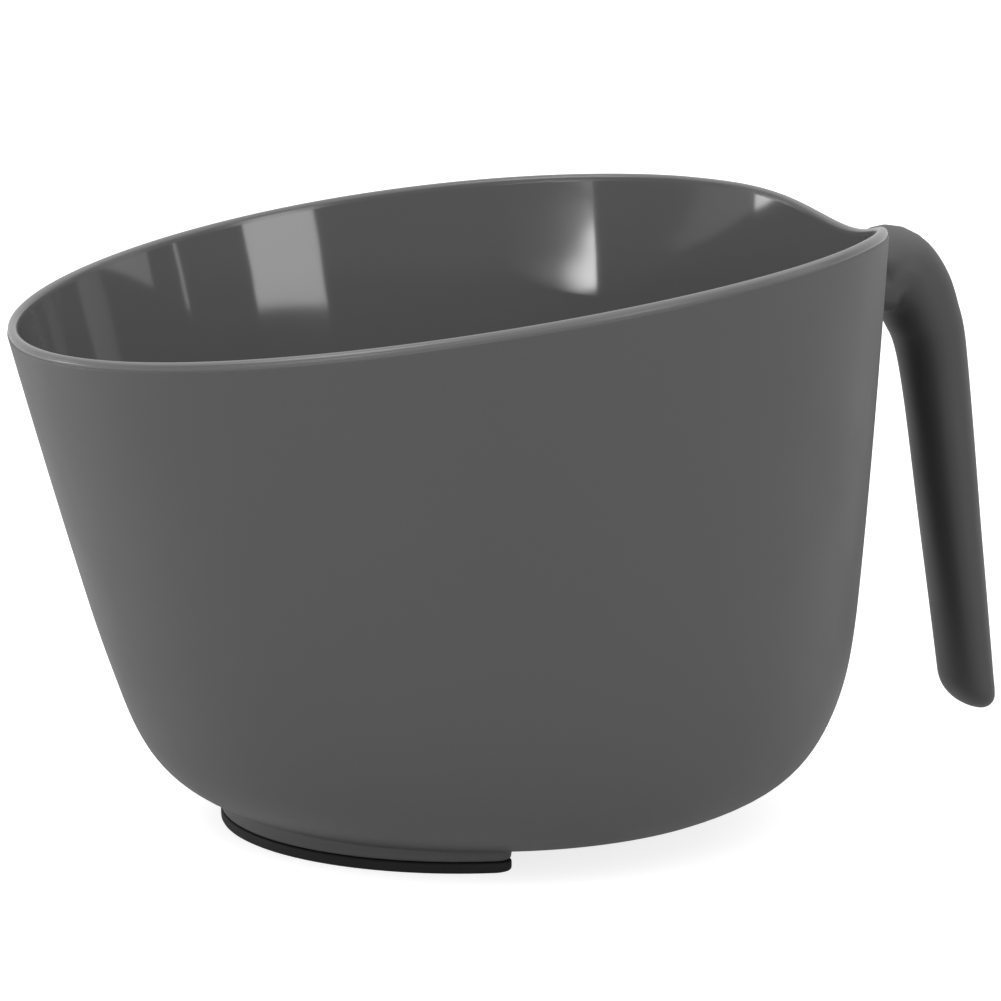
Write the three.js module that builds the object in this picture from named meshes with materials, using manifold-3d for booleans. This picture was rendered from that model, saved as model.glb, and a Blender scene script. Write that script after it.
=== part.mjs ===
// Salon tint bowl that leans away from its handle: a thin moulded bowl, a hooked handle that is open at
// the bottom, and a half-moon foot made of a plastic plinth with a rubber pad under it.
// Millimetres, +Z up, the handle towards +X. The origin is on the table, under the centre of the base.
import * as THREE from "three";
import { mergeVertices } from "three/addons/utils/BufferGeometryUtils.js";
import Module from "manifold-3d";

const { clamp, lerp, smoothstep, degToRad } = THREE.MathUtils;

// ---- driving dimensions -------------------------------------------------------------------------

const GAP = 0.3;                  // clearance between touching pieces
const ROUND_STEPS = 84;           // facets around the bowl

// Bowl, as radii and heights of its outer profile.
const BASE_Z = 3.9;               // underside of the floor above the table
const BASE_R = 43.2;
const CORNER_Z = 39.2;            // where the rounded bottom corner becomes the wall
const CORNER_R = 65.5;
const CORNER_SLOPE = 0.19;        // widening per millimetre of height there
const BLANK_Z = 106.0;            // height of the blank before its rim is cut
const BLANK_R = 76.8;
const WALL_T = 2.0;
const FLOOR_T = 2.4;

// The base is level, and the wall above it leans away from the handle.
const LEAN = degToRad(6.27);
const LEAN_START_Z = 25.2;
const LEAN_BLEND = 4.0;           // height over which the lean comes in

// Rim, in side view.
const RIM_HIGH_Z = 102.45;
const RIM_HIGH_X = 52.0;
const RIM_LOW_X = -79.0;
const RIM_DROP = 17.15;           // from the handle side to the pouring side
const RIM_SWEEP = 1.38;           // how late the fall steepens
const SCOOP_START_X = 40.0;       // thumb scoop in the rim, in front of the handle
const SCOOP_END_X = 66.6;
const SCOOP_DEPTH = 4.1;

// Handle: half-thickness in side view, and half-width across the hand.
const BAR_HALF_T = 6.4;           // at the root, without the root's swelling
const TIP_HALF_T = 3.95;
const ROOT_SWELL_T = 1.6;
const ROOT_DIP = 4.5;              // how far its top drops towards the wall
const ROOT_HALF_W = 10.8;
const GRIP_HALF_W = 8.0;
const TIP_SHARE = 0.05;           // share of the handle's length over which its end rounds off

// Foot: a half-moon under the pouring side, with a round heel under the middle of the base.
const FOOT_X = -3.9;
const FOOT_R = 41.0;
const FOOT_EDGE_X = -7.2;         // straight edge of the half-moon
const FOOT_CORNER_R = 2.5;
const HEEL_X = 6.0;
const HEEL_R = 20.0;
const PAD_H = 1.9;
const PLINTH_FLARE = 1.2;         // how far the plinth widens towards the bowl
const PLINTH_FLARE_H = 1.7;
const PEG_R = 2.0;                // pegs that hold the pad in the plinth
const PEG_H = 1.2;
const PEG_SPOTS = [[-34, 0], [-17, 26], [-17, -26], [14, 0]];

// ---- materials ----------------------------------------------------------------------------------

const shellGrey = new THREE.MeshStandardMaterial({ color: 0x5d5d5d, roughness: 0.4, metalness: 0 });
const handleGrey = new THREE.MeshStandardMaterial({ color: 0x4c4c4c, roughness: 0.5, metalness: 0 });
const rubberBlack = new THREE.MeshStandardMaterial({ color: 0x1b1b1b, roughness: 0.85, metalness: 0 });

// ---- solids: joining and cutting ----------------------------------------------------------------

const wasm = await Module();
wasm.setup();

function toSolid(geometry) {
  const bare = geometry.clone();
  bare.deleteAttribute("normal");
  bare.deleteAttribute("uv");
  const merged = mergeVertices(bare, 1e-4);
  const vertProperties = Float32Array.from(merged.attributes.position.array);
  const triVerts = Uint32Array.from(merged.index.array);
  return new wasm.Manifold(new wasm.Mesh({ numProp: 3, vertProperties, triVerts }));
}

function toMesh(name, solid, material) {
  const { vertProperties, triVerts } = solid.getMesh();
  const geometry = new THREE.BufferGeometry();
  geometry.setAttribute("position", new THREE.BufferAttribute(vertProperties, 3));
  geometry.setIndex(new THREE.BufferAttribute(triVerts, 1));
  geometry.computeVertexNormals();
  const mesh = new THREE.Mesh(geometry, material);
  mesh.name = name;
  return mesh;
}

// Moves every point of a geometry by a function that changes the point it is given.
function reshape(geometry, move) {
  const position = geometry.attributes.position;
  const point = new THREE.Vector3();
  for (let i = 0; i < position.count; i += 1) {
    point.fromBufferAttribute(position, i);
    move(point);
    position.setXYZ(i, point.x, point.y, point.z);
  }
}

// ---- bowl ---------------------------------------------------------------------------------------

// A ramp that is flat far below LEAN_START_Z and rises with the lean far above it.
function leanRamp(z) {
  const above = z - LEAN_START_Z;
  return (Math.tan(LEAN) * (above + Math.hypot(above, LEAN_BLEND))) / 2;
}

// How far the bowl's middle has moved along X at a height.
function leanShift(z) {
  return leanRamp(BASE_Z) - leanRamp(z);
}

const cornerCurve = new THREE.CubicBezierCurve(
  new THREE.Vector2(BASE_R, BASE_Z),
  new THREE.Vector2(BASE_R + 11.6, BASE_Z + 4.6),
  new THREE.Vector2(CORNER_R - CORNER_SLOPE * 27.7, CORNER_Z - 27.7),
  new THREE.Vector2(CORNER_R, CORNER_Z),
);

const wallCurve = new THREE.QuadraticBezierCurve(
  new THREE.Vector2(CORNER_R, CORNER_Z),
  new THREE.Vector2(CORNER_R + CORNER_SLOPE * 26, CORNER_Z + 26),
  new THREE.Vector2(BLANK_R, BLANK_Z),
);

// Points of a profile curve, moved towards the bowl's inside by a distance.
function offsetPoints(curve, steps, inset) {
  const points = [];
  for (let i = 0; i <= steps; i += 1) {
    const point = curve.getPoint(i / steps);
    const along = curve.getTangent(i / steps);
    points.push(new THREE.Vector2(point.x - along.y * inset, point.y + along.x * inset));
  }
  return points;
}

// The whole blank as a filled solid, with its side and its floor moved inwards by two distances.
function bowlBlank(inset, floorInset) {
  const floorZ = BASE_Z + floorInset;
  const side = [...offsetPoints(cornerCurve, 12, inset), ...offsetPoints(wallCurve, 7, inset).slice(1)];
  const aboveFloor = side.filter((point) => point.y > floorZ + 0.3);
  const outline = [
    new THREE.Vector2(0, floorZ),
    new THREE.Vector2(BASE_R - inset / 2, floorZ),
    ...aboveFloor,
    new THREE.Vector2(0, side.at(-1).y),
  ];
  const geometry = new THREE.LatheGeometry(outline, ROUND_STEPS);
  geometry.rotateX(Math.PI / 2);
  reshape(geometry, (point) => {
    point.x += leanShift(point.z);
  });
  return toSolid(geometry);
}

// Height of the rim at a place along X: a rising sweep, with the thumb scoop at the handle.
function rimHeight(x) {
  const fall = Math.max(0, (RIM_HIGH_X - x) / (RIM_HIGH_X - RIM_LOW_X));
  const scoop = clamp((x - SCOOP_START_X) / (SCOOP_END_X - SCOOP_START_X), 0, 1) ** 9;
  return RIM_HIGH_Z - RIM_DROP * fall ** RIM_SWEEP - SCOOP_DEPTH * scoop;
}

// Everything above the rim, as a block that has the rim's side view as its underside.
function aboveRim() {
  const reach = 100;
  const step = 2.5;
  const outline = new THREE.Shape();
  outline.moveTo(-reach, 2 * BLANK_Z);
  for (let x = -reach; x <= reach; x += step) {
    outline.lineTo(x, rimHeight(x));
  }
  outline.lineTo(reach, 2 * BLANK_Z);
  const geometry = new THREE.ExtrudeGeometry(outline, { depth: 2 * reach, bevelEnabled: false });
  geometry.translate(0, 0, -reach);
  geometry.rotateX(Math.PI / 2);
  return toSolid(geometry);
}

function bowlShell() {
  return bowlBlank(0, 0).subtract(bowlBlank(WALL_T, FLOOR_T)).subtract(aboveRim());
}

// The filled bowl grown by the gap, which every neighbour is cut back from.
const bowlRoom = bowlBlank(-GAP, -GAP);

// ---- handle -------------------------------------------------------------------------------------

// The middle of the handle in side view, from inside the wall, over the bend and down the grip.
const handlePath = new THREE.CatmullRomCurve3([
  new THREE.Vector3(60.0, 0, 85.6),
  new THREE.Vector3(67.5, 0, 89.2),
  new THREE.Vector3(71.2, 0, 91.0),
  new THREE.Vector3(74.4, 0, 91.0),
  new THREE.Vector3(77.6, 0, 87.9),
  new THREE.Vector3(80.0, 0, 83.1),
  new THREE.Vector3(81.6, 0, 78.6),
  new THREE.Vector3(86.6, 0, 42.1),
  new THREE.Vector3(90.4, 0, 12.3),
], false, "centripetal");

// Half-thickness and half-width at a share of the path: broad at the root, slim in the grip.
function handleSection(share) {
  const swell = ROOT_SWELL_T * (1 - smoothstep(share, 0.08, 0.36));
  const end = Math.max(0, share - (1 - TIP_SHARE)) / TIP_SHARE;
  const close = Math.sqrt(Math.max(0.01, 1 - end ** 2.4));
  return {
    thick: (lerp(BAR_HALF_T, TIP_HALF_T, share) + swell) * close,
    wide: lerp(ROOT_HALF_W, GRIP_HALF_W, smoothstep(share, 0.08, 0.45)) * close,
    dip: ROOT_DIP * (1 - smoothstep(share, 0.08, 0.16)),
  };
}

// An oval bar: a cylinder bent along the path, with rings closer together towards the rounded end.
function handleBar() {
  const sides = 28;
  const rings = 30;
  const crowding = 1.5;
  const geometry = new THREE.CylinderGeometry(1, 1, 1, sides, rings);
  reshape(geometry, (point) => {
    const share = 1 - Math.max(0, point.y + 0.5) ** crowding;
    const middle = handlePath.getPointAt(share);
    const along = handlePath.getTangentAt(share);
    const section = handleSection(share);
    const across = point.x * (section.thick - (point.x < 0 ? section.dip : 0));
    point.set(middle.x + along.z * across, point.z * section.wide, middle.z - along.x * across);
  });
  return toSolid(geometry);
}

// ---- foot ---------------------------------------------------------------------------------------

// Outline of the foot seen from above, drawn in from its full size by an inset.
function footOutline(inset) {
  const footR = FOOT_R - inset;
  const edgeX = FOOT_EDGE_X - inset;
  const heelR = HEEL_R - inset;
  const cornerX = edgeX - FOOT_CORNER_R;
  const cornerY = Math.sqrt((footR - FOOT_CORNER_R) ** 2 - (cornerX - FOOT_X) ** 2);
  const turn = Math.atan2(cornerY, cornerX - FOOT_X);
  const heelTurn = Math.acos((edgeX - HEEL_X) / heelR);
  const outline = new THREE.Shape();
  outline.absarc(FOOT_X, 0, footR, turn, 2 * Math.PI - turn, false);
  outline.absarc(cornerX, -cornerY, FOOT_CORNER_R, -turn, 0, false);
  outline.absarc(HEEL_X, 0, heelR, -heelTurn, heelTurn, false);
  outline.absarc(cornerX, cornerY, FOOT_CORNER_R, 0, turn, false);
  return outline;
}

function footSlab(inset, lowZ, height, bevel) {
  const geometry = new THREE.ExtrudeGeometry(footOutline(inset), { depth: height, curveSegments: 24, ...bevel });
  geometry.translate(0, 0, lowZ);
  return toSolid(geometry);
}

function pegs(radius, height) {
  return PEG_SPOTS.map(([x, y]) => {
    const geometry = new THREE.CylinderGeometry(radius, radius, height, 16);
    geometry.rotateX(Math.PI / 2);
    geometry.translate(x, y, PAD_H + height / 2 - GAP);
    return toSolid(geometry);
  });
}

// The plinth widens up to the bowl, fits its rounded corner, and has a hole for each peg.
function footPlinth() {
  const bevel = { bevelThickness: PLINTH_FLARE_H, bevelSize: PLINTH_FLARE, bevelSegments: 1 };
  const slab = footSlab(0.2, PAD_H + GAP + PLINTH_FLARE_H, BASE_Z, bevel);
  return pegs(PEG_R + GAP, 2 * BASE_Z).reduce((solid, hole) => solid.subtract(hole), slab.subtract(bowlRoom));
}

function footPad() {
  const slab = footSlab(0, 0, PAD_H, { bevelEnabled: false });
  return pegs(PEG_R, PEG_H + GAP).reduce((solid, peg) => solid.add(peg), slab);
}

// ---- the assembly -------------------------------------------------------------------------------

const tintBowl = new THREE.Group();
tintBowl.add(toMesh("bowl_shell", bowlShell(), shellGrey));
tintBowl.add(toMesh("hook_handle", handleBar().subtract(bowlRoom), handleGrey));
tintBowl.add(toMesh("foot_plinth", footPlinth(), shellGrey));
tintBowl.add(toMesh("foot_pad", footPad(), rubberBlack));

export default tintBowl;
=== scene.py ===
"""Looks of the leaning tint bowl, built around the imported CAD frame.

Shapes are worked out in millimetres, with +Z up and the handle towards +X, and become metres in each mesh.
"""

import math

import bmesh
import bpy
import numpy as np
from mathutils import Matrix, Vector


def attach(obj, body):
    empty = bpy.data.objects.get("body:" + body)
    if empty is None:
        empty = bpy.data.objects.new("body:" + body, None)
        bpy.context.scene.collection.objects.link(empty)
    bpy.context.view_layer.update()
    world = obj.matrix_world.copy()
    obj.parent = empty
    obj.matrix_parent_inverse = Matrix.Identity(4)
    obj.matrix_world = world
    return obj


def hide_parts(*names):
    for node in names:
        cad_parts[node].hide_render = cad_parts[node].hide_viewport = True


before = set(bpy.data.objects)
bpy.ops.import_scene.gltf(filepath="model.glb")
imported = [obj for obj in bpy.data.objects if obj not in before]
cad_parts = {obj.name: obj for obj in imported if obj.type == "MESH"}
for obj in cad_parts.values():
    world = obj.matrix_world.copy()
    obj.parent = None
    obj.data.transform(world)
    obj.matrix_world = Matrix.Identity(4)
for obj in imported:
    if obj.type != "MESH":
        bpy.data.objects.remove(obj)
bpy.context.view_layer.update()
MM = 0.001

# ---- sizes ----------------------------------------------------------------------------------------

BASE_Z = 3.9
BASE_R = 43.2
CORNER_Z = 39.2
CORNER_R = 65.5
CORNER_SLOPE = 0.19
BLANK_Z = 106.0
BLANK_R = 76.8
CORNER_LOW_PULL = (11.6, 4.6)     # how far the corner's curve is pulled at its lower end
CORNER_HIGH_PULL = 27.7           # and, in height, at its upper end
WALL_PULL = 26.0                  # height above the corner at which the wall still runs straight on
WALL_T = 2.0
FLOOR_T = 2.4
LEAN = math.radians(6.27)
LEAN_START_Z = 25.2
LEAN_BLEND = 4.0                  # height over which the lean comes in

RIM_HIGH_Z = 102.45
RIM_HIGH_X = 52.0
RIM_LOW_X = -79.0
RIM_DROP = 17.15
RIM_SWEEP = 1.38
SCOOP_START_X = 40.0
SCOOP_END_X = 66.6
SCOOP_DEPTH = 4.1
SCOOP_SHARPNESS = 9               # higher keeps the scoop closer to the handle

HANDLE_PATH = [(60.0, 85.6), (67.5, 89.2), (71.2, 91.0), (74.4, 91.0), (77.6, 87.9), (80.0, 83.1),
               (81.6, 78.6), (86.6, 42.1), (90.4, 12.2)]
BAR_HALF_T = 6.4
TIP_HALF_T = 3.95
ROOT_SWELL_T = 1.6
ROOT_DIP = 4.5                    # how far the handle's top drops towards the wall
ROOT_X = 69.3                     # where the handle's own rings start, outside the wall
ROOT_HALF_W = 10.6
GRIP_HALF_W = 7.9
ROOT_SHARE = 0.08                 # share of the handle's length up to which its root keeps its full form
DIP_SHARE = 0.16                  # and where the root's dip, swelling and extra width have run out
SWELL_SHARE = 0.36
WIDE_SHARE = 0.45
SQUARENESS = 2.1                  # of the handle's section; 2 is an ellipse
TIP_OUTER_R = 2.4                 # rounding of the handle's end: tight on the outside,
TIP_INNER_R = 6.5                 # wide on the inside
TIP_SIDE_R = 4.5                  # and in between at the sides
TIP_RINGS = 24                    # closely spaced rings at the end

FOOT_X = -3.9
FOOT_R = 41.0
FOOT_EDGE_X = -7.2
FOOT_CORNER_R = 2.5
HEEL_X = 6.0
HEEL_R = 20.0
PAD_H = 1.9
PLINTH_GAP = 0.12                 # dark line between the pad and the plinth
PLINTH_EDGE_H = 0.6               # height of the plinth's rounded lower edge
PLINTH_FLARE = 1.2
PLINTH_FLARE_H = 2.6
FOOT_MIDDLE_X = -14.0             # point towards which the foot's flat faces are filled

AROUND = 288                      # steps around the bowl


# ---- helpers --------------------------------------------------------------------------------------

def smoothstep(value, low, high):
    t = np.clip((np.asarray(value, float) - low) / (high - low), 0, 1)
    return t * t * (3 - 2 * t)


def make_mesh(name, points, faces, slot_of_face=None):
    """A smooth-shaded object from points in millimetres, with its faces turned outwards."""
    mesh = bpy.data.meshes.new(name)
    mesh.from_pydata((np.asarray(points, float) * MM).tolist(), [], faces)
    if slot_of_face is not None:
        mesh.polygons.foreach_set("material_index", slot_of_face)
    work = bmesh.new()
    work.from_mesh(mesh)
    bmesh.ops.recalc_face_normals(work, faces=work.faces)
    work.to_mesh(mesh)
    work.free()
    mesh.shade_smooth()
    obj = bpy.data.objects.new(name, mesh)
    bpy.context.scene.collection.objects.link(obj)
    return obj


def loft(name, rings, slot_of_ring=None):
    """Skins a list of rings of points; the first and last ring close to one point each."""
    count = len(rings[0])
    first, end_point = np.mean(rings[0], axis=0), np.mean(rings[-1], axis=0)
    points = [first] + [p for ring in rings for p in ring] + [end_point]
    last = len(points) - 1
    faces, slots = [], []
    for j in range(count):
        faces.append((0, 1 + j, 1 + (j + 1) % count))
        slots.append(0)
    for i in range(len(rings) - 1):
        a, b = 1 + i * count, 1 + (i + 1) * count
        for j in range(count):
            k = (j + 1) % count
            faces.append((a + j, a + k, b + k, b + j))
            slots.append(slot_of_ring[i] if slot_of_ring else 0)
    end = 1 + (len(rings) - 1) * count
    for j in range(count):
        faces.append((last, end + (j + 1) % count, end + j))
        slots.append(slot_of_ring[-1] if slot_of_ring else 0)
    return make_mesh(name, points, faces, slots)


# ---- bowl -----------------------------------------------------------------------------------------

def lean_ramp(z):
    above = z - LEAN_START_Z
    return math.tan(LEAN) * (above + np.hypot(above, LEAN_BLEND)) / 2


def lean_shift(z):
    return lean_ramp(BASE_Z) - lean_ramp(z)


def bezier(points, steps):
    points = np.array(points, float)
    n = len(points) - 1
    t = np.linspace(0, 1, steps)[:, None]
    return sum(math.comb(n, k) * (1 - t) ** (n - k) * t**k * points[k] for k in range(n + 1))


def wall_profile():
    """Radius, height, tangent and length along the outside, from the base's middle to above the rim."""
    floor = [(0, BASE_Z), (BASE_R, BASE_Z)]
    corner = [
        (BASE_R, BASE_Z),
        (BASE_R + CORNER_LOW_PULL[0], BASE_Z + CORNER_LOW_PULL[1]),
        (CORNER_R - CORNER_SLOPE * CORNER_HIGH_PULL, CORNER_Z - CORNER_HIGH_PULL),
        (CORNER_R, CORNER_Z),
    ]
    wall = [
        (CORNER_R, CORNER_Z),
        (CORNER_R + CORNER_SLOPE * WALL_PULL, CORNER_Z + WALL_PULL),
        (BLANK_R, BLANK_Z),
    ]
    line = np.concatenate([bezier(floor, 200), bezier(corner, 300)[1:], bezier(wall, 300)[1:]])
    length = np.concatenate([[0], np.cumsum(np.hypot(*np.diff(line, axis=0).T))])
    steps = np.arange(0, length[-1], 0.25)
    r, z = np.interp(steps, length, line[:, 0]), np.interp(steps, length, line[:, 1])
    # A short moving average softens the meeting points; the ends are mirrored so that they stay put.
    window = np.hanning(25)
    window /= window.sum()
    half = len(window) // 2
    r = np.convolve(np.concatenate([-r[half:0:-1], r, 2 * r[-1] - r[-2:-half - 2:-1]]), window, "valid")
    z = np.convolve(np.concatenate([z[half:0:-1], z, 2 * z[-1] - z[-2:-half - 2:-1]]), window, "valid")
    tangent = np.stack([np.gradient(r, steps), np.gradient(z, steps)])
    tangent /= np.hypot(*tangent)
    return {"s": steps, "r": r, "z": z, "tr": tangent[0], "tz": tangent[1]}


PROFILE = wall_profile()
RISING = 200                      # first profile step that is past the flat base


def outer_radius(z):
    return np.interp(z, PROFILE["z"][RISING:], PROFILE["r"][RISING:])


def rim_height(x):
    fall = np.maximum(0, (RIM_HIGH_X - x) / (RIM_HIGH_X - RIM_LOW_X))
    scoop = np.clip((x - SCOOP_START_X) / (SCOOP_END_X - SCOOP_START_X), 0, 1) ** SCOOP_SHARPNESS
    return RIM_HIGH_Z - RIM_DROP * fall**RIM_SWEEP - SCOOP_DEPTH * scoop


def rim_lengths(angles):
    """How far up the profile the rim's top is, at each angle around the bowl."""
    z = np.full_like(angles, 95.0)
    for _ in range(40):
        x = lean_shift(z) + (outer_radius(z) - WALL_T / 2) * np.cos(angles)
        z = (z + rim_height(x)) / 2
    return np.interp(z, PROFILE["z"][RISING:], PROFILE["s"][RISING:])


def on_bowl(along, angles, depth):
    """Points on the bowl at a length along the outside, moved inwards by a depth."""
    at = {key: np.interp(along, PROFILE["s"], PROFILE[key]) for key in ("r", "z", "tr", "tz")}
    r = at["r"] - at["tz"] * depth
    z = at["z"] + at["tr"] * depth
    return np.stack([lean_shift(z) + r * np.cos(angles), r * np.sin(angles), z], axis=-1)


# The lip in section, as (distance below its top, depth in from the outside): a rounded shoulder where the
# mould parts, a narrow band, and a half-round top.
SHOULDER = [(2.1, 0.0), (1.7, 0.0), (1.36, 0.0), (1.26, 0.03), (1.19, 0.08), (1.15, 0.15), (1.14, 0.2)]
BAND = [(1.1, 0.21), (1.0, 0.22), (0.9, 0.22)]
LIP_LENGTH = SHOULDER[0][0]
TOP_INSET = 0.24                  # how far in the half-round top starts


def lip_section():
    radius = (WALL_T - TOP_INSET) / 2
    turns = np.linspace(math.pi, 0, 15)[1:]
    top = [(radius - radius * math.sin(t), WALL_T - radius + radius * math.cos(t)) for t in turns]
    return SHOULDER + BAND + [(0.7, TOP_INSET)] + top + [(1.4, WALL_T), (2.0, WALL_T), (2.6, WALL_T)]


OUTSIDE, LIP, INSIDE = 0, 1, 2


def build_bowl():
    angles = np.arange(AROUND) * 2 * math.pi / AROUND
    rim = rim_lengths(angles)
    low_rim = rim - LIP_LENGTH
    shares = np.linspace(0.012, 1, 96)    # of the way from the base's middle to the lip
    rings, slots = [], []
    for share in shares[:-1]:
        rings.append(on_bowl(low_rim * share, angles, 0.0))
        slots.append(OUTSIDE)
    for below, depth in lip_section():
        rings.append(on_bowl(rim - below, angles, depth))
        side = OUTSIDE if depth < WALL_T / 2 else INSIDE
        slots.append(LIP if below < SHOULDER[-1][0] else side)
    for share in shares[-2::-1]:
        depth = FLOOR_T + (WALL_T - FLOOR_T) * smoothstep(share, 0.3, 0.7)
        rings.append(on_bowl(low_rim * share, angles, depth))
        slots.append(INSIDE)
    return loft("bowl_shell_visual", rings, slots)


# ---- handle ---------------------------------------------------------------------------------------

def centripetal_curve(knots, steps):
    """A smooth curve through the knots, sampled evenly along its length."""
    knots = np.array(knots, float)
    line = np.concatenate([[2 * knots[0] - knots[1]], knots, [2 * knots[-1] - knots[-2]]])
    pieces = []
    for p0, p1, p2, p3 in zip(line, line[1:], line[2:], line[3:]):
        t0 = 0.0
        t1 = t0 + math.dist(p0, p1) ** 0.5
        t2 = t1 + math.dist(p1, p2) ** 0.5
        t3 = t2 + math.dist(p2, p3) ** 0.5
        t = np.linspace(t1, t2, 60)[:-1, None]
        a1 = (t1 - t) / (t1 - t0) * p0 + (t - t0) / (t1 - t0) * p1
        a2 = (t2 - t) / (t2 - t1) * p1 + (t - t1) / (t2 - t1) * p2
        a3 = (t3 - t) / (t3 - t2) * p2 + (t - t2) / (t3 - t2) * p3
        b1 = (t2 - t) / (t2 - t0) * a1 + (t - t0) / (t2 - t0) * a2
        b2 = (t3 - t) / (t3 - t1) * a2 + (t - t1) / (t3 - t1) * a3
        pieces.append((t2 - t) / (t2 - t1) * b1 + (t - t1) / (t2 - t1) * b2)
    curve = np.concatenate(pieces + [knots[-1:]])
    length = np.concatenate([[0], np.cumsum(np.hypot(*np.diff(curve, axis=0).T))])
    even = np.linspace(0, length[-1], steps)
    points = np.stack([np.interp(even, length, curve[:, k]) for k in (0, 1)], axis=-1)
    tangent = np.gradient(points, even, axis=0)
    tangent /= np.hypot(*tangent.T)[:, None]
    return points, tangent, even


def round_end(distance, radius):
    """1 away from an end, falling to 0 at it along a quarter circle."""
    t = 1 - np.clip(distance / radius, 0, 1)
    return np.sqrt(np.maximum(0, 1 - t * t))


def build_handle():
    steps = 360
    points, tangent, length = centripetal_curve(HANDLE_PATH, steps)
    total = length[-1]
    turns = np.arange(64) * 2 * math.pi / 64
    cos, sin = np.cos(turns), np.sin(turns)
    side = np.sign(cos) * np.abs(cos) ** (2 / SQUARENESS)
    width = np.sign(sin) * np.abs(sin) ** (2 / SQUARENESS)
    rings = []
    start = int(np.searchsorted(points[:, 0], ROOT_X))
    keep = list(range(start, steps - TIP_RINGS, 3)) + list(range(steps - TIP_RINGS, steps))
    for i in keep:
        share, left = length[i] / total, total - length[i]
        half = BAR_HALF_T + (TIP_HALF_T - BAR_HALF_T) * share
        half += ROOT_SWELL_T * (1 - smoothstep(share, ROOT_SHARE, SWELL_SHARE))
        slim = smoothstep(share, ROOT_SHARE, WIDE_SHARE)
        dip = ROOT_DIP * (1 - smoothstep(share, ROOT_SHARE, DIP_SHARE))
        outer = half - TIP_OUTER_R * (1 - round_end(left, TIP_OUTER_R)) - dip
        inner = -half + 1.35 * half * (1 - round_end(left, TIP_INNER_R))
        half_w = ROOT_HALF_W + (GRIP_HALF_W - ROOT_HALF_W) * slim
        half_w *= 0.25 + 0.75 * round_end(left, TIP_SIDE_R)
        middle, reach = (outer + inner) / 2, (outer - inner) / 2
        across = middle + reach * side
        tx, tz = tangent[i]
        # Outward is away from the bowl: the tangent turned by a quarter.
        x = points[i, 0] - tz * across
        z = points[i, 1] + tx * across
        rings.append(np.stack([x, width * half_w, z], axis=-1))
    return loft("hook_handle_visual", root_rings(rings[0]) + rings)


def root_rings(first):
    """Rings that carry the handle's first section into the bowl's wall, with a small fillet."""
    y, z = first[:, 1], first[:, 2]
    middle = first.mean(axis=0)
    rings = []
    for away, swell in [(-0.9, 1.10), (0.0, 1.10), (0.12, 1.07), (0.4, 1.04), (0.9, 1.015)]:
        yy = middle[1] + (y - middle[1]) * swell
        zz = middle[2] + (z - middle[2]) * swell
        radius = outer_radius(zz)
        x = lean_shift(zz) + np.sqrt(radius**2 - yy**2) + away
        rings.append(np.stack([x, yy, zz], axis=-1))
    return rings


# ---- foot -----------------------------------------------------------------------------------------

def arc(cx, cy, radius, start, end, steps):
    turns = np.linspace(start, end, steps)
    return np.stack([cx + radius * np.cos(turns), cy + radius * np.sin(turns)], axis=-1)


def foot_outline(inset):
    """The foot from above: a half-moon with a round heel, drawn in by an inset."""
    foot_r, edge_x, heel_r = FOOT_R - inset, FOOT_EDGE_X - inset, HEEL_R - inset
    corner_x = edge_x - FOOT_CORNER_R
    corner_y = math.sqrt((foot_r - FOOT_CORNER_R) ** 2 - (corner_x - FOOT_X) ** 2)
    turn = math.atan2(corner_y, corner_x - FOOT_X)
    heel_turn = math.acos((edge_x - HEEL_X) / heel_r)
    return np.concatenate([
        arc(FOOT_X, 0, foot_r, turn, 2 * math.pi - turn, 160),
        arc(corner_x, -corner_y, FOOT_CORNER_R, -turn, 0, 12)[1:],
        arc(HEEL_X, 0, heel_r, -heel_turn, heel_turn, 80),
        arc(corner_x, corner_y, FOOT_CORNER_R, 0, turn, 12)[:-1],
    ])


def slab(name, section):
    """A slab with the foot's outline, from (height, inset) pairs going up its edge."""
    rings = []
    for z, inset in section:
        outline = foot_outline(inset)
        rings.append(np.column_stack([outline, np.full(len(outline), z)]))
    shrink = [1 - 0.04 * k for k in range(1, 5)]
    middle = np.array([FOOT_MIDDLE_X, 0.0, 0.0])
    bottom = [middle * (1 - f) + rings[0] * np.array([f, f, 1]) for f in reversed(shrink)]
    top = [middle * (1 - f) + rings[-1] * np.array([f, f, 1]) for f in shrink]
    return loft(name, bottom + rings + top)


def build_plinth():
    low = PAD_H + PLINTH_GAP
    edge = low + PLINTH_EDGE_H
    section = [(low, 0.55), (low + 0.05, 0.3), (low + 0.25, 0.12), (edge, 0.05)]
    for t in np.linspace(0.1, 1, 8):
        section.append((edge + PLINTH_FLARE_H * t, 0.05 - PLINTH_FLARE * t**2))
    return slab("foot_plinth_visual", section)


def build_pad():
    section = [(0.0, 0.9), (0.06, 0.45), (0.2, 0.18), (0.45, 0.03), (0.8, 0.0), (PAD_H - 0.3, 0.0)]
    section += [(PAD_H - 0.08, 0.08), (PAD_H, 0.3)]
    return slab("foot_pad_visual", section)


# ---- materials ------------------------------------------------------------------------------------

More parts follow.
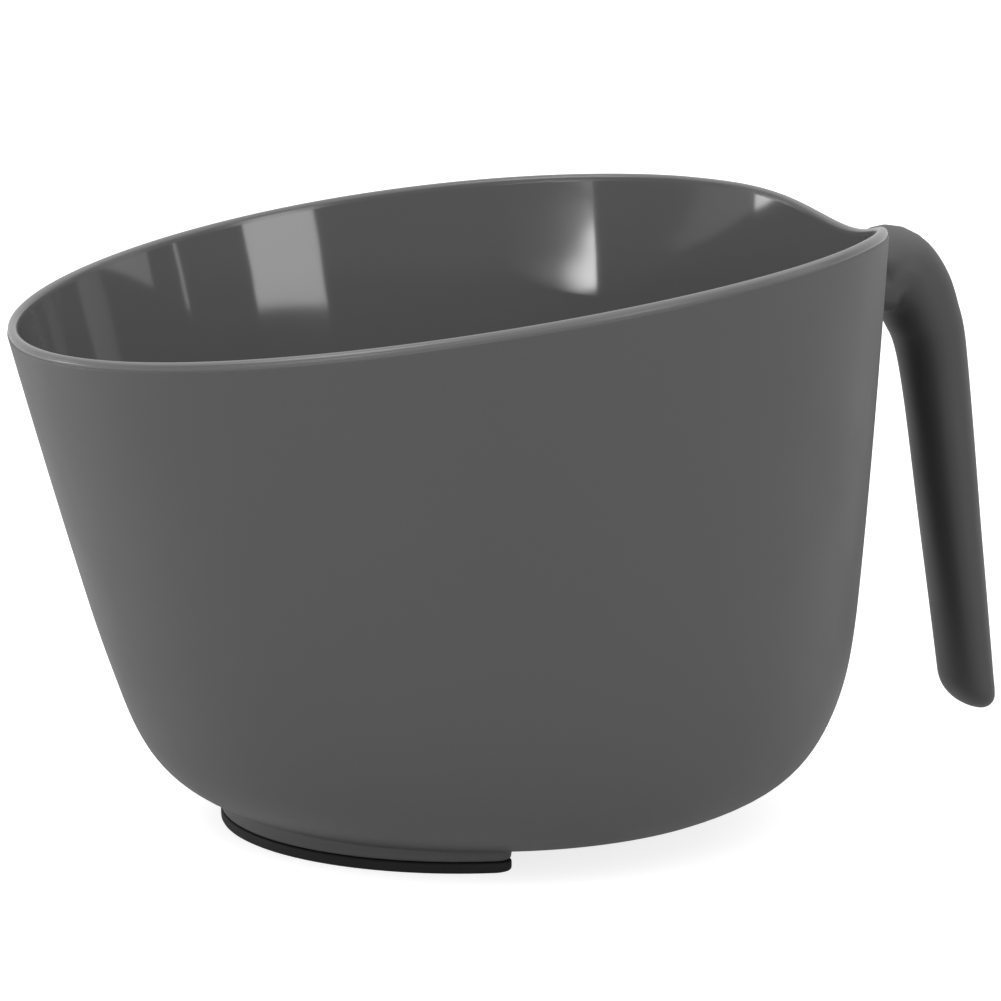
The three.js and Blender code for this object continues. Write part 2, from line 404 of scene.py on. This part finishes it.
def plastic(name, grey, roughness, grain_size, grain_depth, wave_size, wave_depth, specular=0.5):
    """Moulded plastic: a grey with faint flow marks, and a bump of fine grain over long soft waves."""
    material = bpy.data.materials.new(name)
    material.use_nodes = True
    nodes, links = material.node_tree.nodes, material.node_tree.links
    shader = nodes["Principled BSDF"]
    shader.inputs["Specular IOR Level"].default_value = specular
    place = nodes.new("ShaderNodeTexCoord")
    grain, wave, flow = (nodes.new("ShaderNodeTexNoise") for _ in range(3))
    for texture, size, detail in ((grain, grain_size, 3), (wave, wave_size, 1), (flow, 30.0, 4)):
        texture.inputs["Scale"].default_value = 1 / (size * MM)
        texture.inputs["Detail"].default_value = detail
        links.new(place.outputs["Object"], texture.inputs["Vector"])
    shade = nodes.new("ShaderNodeMapRange")
    shade.inputs["To Min"].default_value = grey * 0.955
    shade.inputs["To Max"].default_value = grey * 1.045
    links.new(flow.outputs["Fac"], shade.inputs["Value"])
    links.new(shade.outputs["Result"], shader.inputs["Base Color"])
    gloss = nodes.new("ShaderNodeMapRange")
    gloss.inputs["From Min"].default_value = 0.3
    gloss.inputs["From Max"].default_value = 0.7
    gloss.inputs["To Min"].default_value = roughness * 0.9
    gloss.inputs["To Max"].default_value = roughness * 1.1
    links.new(flow.outputs["Fac"], gloss.inputs["Value"])
    links.new(gloss.outputs["Result"], shader.inputs["Roughness"])
    previous = None
    for texture, depth in ((wave, wave_depth), (grain, grain_depth)):
        bump = nodes.new("ShaderNodeBump")
        bump.inputs["Strength"].default_value = 1.0
        bump.inputs["Distance"].default_value = depth * MM
        links.new(texture.outputs["Fac"], bump.inputs["Height"])
        if previous:
            links.new(previous.outputs["Normal"], bump.inputs["Normal"])
        previous = bump
    links.new(previous.outputs["Normal"], shader.inputs["Normal"])
    return material


# Sizes and depths of the grain and the waves are in millimetres.
outside = plastic("bowl_outside_satin", 0.058, 0.5, 0.35, 0.006, 18.0, 0.02)
# The lip is the same plastic as the outside but gets a lighter grey: a painted highlight along the rim.
lip = plastic("bowl_lip_painted_highlight", 0.1, 0.22, 0.5, 0.002, 12.0, 0.01)
# The inside's higher gloss is real; its lighter grey than the outside is painted light that brightens the
# bowl's hollow.
inside = plastic("bowl_inside_gloss_painted_light", 0.095, 0.07, 0.8, 0.0002, 16.0, 0.06)
# The handle is the same plastic as the bowl; its darker grey is painted shade on the handle.
grip_painted_shade = plastic("handle_satin_painted_shade", 0.04, 0.5, 0.35, 0.006, 18.0, 0.02)
# The plinth is part of the same moulding as the bowl; its lighter grey is painted light on the step.
step = plastic("plinth_satin_painted_light", 0.075, 0.5, 0.35, 0.006, 18.0, 0.02)
rubber = plastic("pad_rubber", 0.012, 0.75, 0.25, 0.02, 5.0, 0.03, specular=0.3)

# ---- the object -----------------------------------------------------------------------------------


def finish_piece(obj, node, slot, *materials):
    for material in materials:
        obj.data.materials.append(material)
    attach(obj, "root")
    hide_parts(node)


finish_piece(build_bowl(), "bowl_shell", "bowl_plastic", outside, lip, inside)
finish_piece(build_handle(), "hook_handle", "handle_plastic", grip_painted_shade)
finish_piece(build_plinth(), "foot_plinth", "foot_plastic", step)
finish_piece(build_pad(), "foot_pad", "foot_rubber", rubber)

# ---- camera ---------------------------------------------------------------------------------------

AZIMUTH, ELEVATION = math.radians(-18.0), math.radians(10.69)
TARGET = Vector((3.35, 0.0, 54.14)) * MM
DISTANCE = 850.2 * MM
WIDTH_AT_TARGET = 170.17 * MM

camera_data = bpy.data.cameras.new("camera")
camera_data.sensor_width = 36.0
camera_data.lens = camera_data.sensor_width * DISTANCE / WIDTH_AT_TARGET
camera_data.clip_start, camera_data.clip_end = 0.01, 50.0
camera = bpy.data.objects.new("camera", camera_data)
back = Vector((
    math.sin(AZIMUTH) * math.cos(ELEVATION),
    -math.cos(AZIMUTH) * math.cos(ELEVATION),
    math.sin(ELEVATION),
))
camera.location = TARGET + back * DISTANCE
camera.rotation_mode = "QUATERNION"
camera.rotation_quaternion = (-back).to_track_quat("-Z", "Y")
bpy.context.scene.collection.objects.link(camera)
bpy.context.scene.camera = camera

# ---- studio ---------------------------------------------------------------------------------------


def build_floor():
    """White to the camera, with a faint shadow; dimmer to the bowl, so that little light comes from below."""
    size = 6.0
    mesh = bpy.data.meshes.new("floor")
    corners = [(-size, -size, 0), (size, -size, 0), (size, size, 0), (-size, size, 0)]
    mesh.from_pydata(corners, [], [(0, 1, 2, 3)])
    floor = bpy.data.objects.new("floor", mesh)
    material = bpy.data.materials.new("floor_white")
    material.use_nodes = True
    nodes, links = material.node_tree.nodes, material.node_tree.links
    shader = nodes["Principled BSDF"]
    shader.inputs["Base Color"].default_value = (0.45, 0.45, 0.45, 1)
    shader.inputs["Roughness"].default_value = 0.9
    shader.inputs["Specular IOR Level"].default_value = 0.1
    ray, glow = nodes.new("ShaderNodeLightPath"), nodes.new("ShaderNodeEmission")
    bright = nodes.new("ShaderNodeMapRange")
    bright.inputs["To Min"].default_value = 0.26
    bright.inputs["To Max"].default_value = 0.8
    links.new(ray.outputs["Is Camera Ray"], bright.inputs["Value"])
    links.new(bright.outputs["Result"], glow.inputs["Strength"])
    both = nodes.new("ShaderNodeAddShader")
    links.new(shader.outputs["BSDF"], both.inputs[0])
    links.new(glow.outputs["Emission"], both.inputs[1])
    links.new(both.outputs["Shader"], nodes["Material Output"].inputs["Surface"])
    mesh.materials.append(material)
    bpy.context.scene.collection.objects.link(floor)


def build_world():
    """White to the camera; to everything else a soft dome that is bright above and dim in front."""
    world = bpy.data.worlds.new("studio")
    bpy.context.scene.world = world
    world.use_nodes = True
    nodes, links = world.node_tree.nodes, world.node_tree.links
    nodes.clear()
    place = nodes.new("ShaderNodeTexCoord")
    axes = nodes.new("ShaderNodeSeparateXYZ")
    links.new(place.outputs["Generated"], axes.inputs["Vector"])
    rise = nodes.new("ShaderNodeMapRange")
    rise.interpolation_type = "SMOOTHSTEP"
    for key, value in (("From Min", 0.2), ("From Max", 0.75), ("To Min", 0.12), ("To Max", 1.55)):
        rise.inputs[key].default_value = value
    links.new(axes.outputs["Z"], rise.inputs["Value"])
    behind = nodes.new("ShaderNodeMapRange")
    behind.interpolation_type = "SMOOTHSTEP"
    for key, value in (("From Min", -0.2), ("From Max", 0.6), ("To Min", 0.0), ("To Max", 0.8)):
        behind.inputs[key].default_value = value
    links.new(axes.outputs["Y"], behind.inputs["Value"])
    both = nodes.new("ShaderNodeMath")
    both.operation = "MAXIMUM"
    links.new(rise.outputs["Result"], both.inputs[0])
    links.new(behind.outputs["Result"], both.inputs[1])
    dome, seen = (nodes.new("ShaderNodeBackground") for _ in range(2))
    mix = nodes.new("ShaderNodeMixShader")
    dome.inputs["Color"].default_value = (1, 1, 1, 1)
    links.new(both.outputs["Value"], dome.inputs["Strength"])
    seen.inputs["Color"].default_value = (1, 1, 1, 1)
    seen.inputs["Strength"].default_value = 1.0
    ray = nodes.new("ShaderNodeLightPath")
    links.new(ray.outputs["Is Camera Ray"], mix.inputs["Fac"])
    links.new(dome.outputs["Background"], mix.inputs[1])
    links.new(seen.outputs["Background"], mix.inputs[2])
    out = nodes.new("ShaderNodeOutputWorld")
    links.new(mix.outputs["Shader"], out.inputs["Surface"])


def softbox(name, azimuth, elevation, distance, width, height, power):
    """An area light that faces the bowl's mouth. Azimuth 0 is towards -Y and 90 towards +X.

    Angles are in degrees, the distance and the sizes in metres, and the power in watts.
    """
    light = bpy.data.lights.new(name, "AREA")
    light.shape = "RECTANGLE"
    light.size, light.size_y = width, height
    light.energy = power
    lamp = bpy.data.objects.new(name, light)
    a, e = math.radians(azimuth), math.radians(elevation)
    away = Vector((math.sin(a) * math.cos(e), -math.cos(a) * math.cos(e), math.sin(e)))
    lamp.location = MOUTH + away * distance
    lamp.rotation_mode = "QUATERNION"
    lamp.rotation_quaternion = away.to_track_quat("Z", "Y")
    bpy.context.scene.collection.objects.link(lamp)


MOUTH = Vector((0.0, 0.0, 0.09))

build_floor()
build_world()
softbox("tall_window", 29.0, 13.0, 1.6, 0.62, 0.45, 5.0)
softbox("side_window", 84.0, 13.0, 1.6, 0.55, 0.45, 1.0)
softbox("thin_strip", 63.5, 12.0, 1.6, 0.03, 0.4, 0.12)
softbox("low_strip", -49.0, 1.2, 1.6, 0.72, 0.06, 2.6)
softbox("back_window", -126.0, -4.0, 0.5, 0.12, 0.07, 0.2)
softbox("key", -65.0, 50.0, 1.5, 0.9, 0.9, 8.0)
bpy.context.scene.view_settings.view_transform = "Standard"
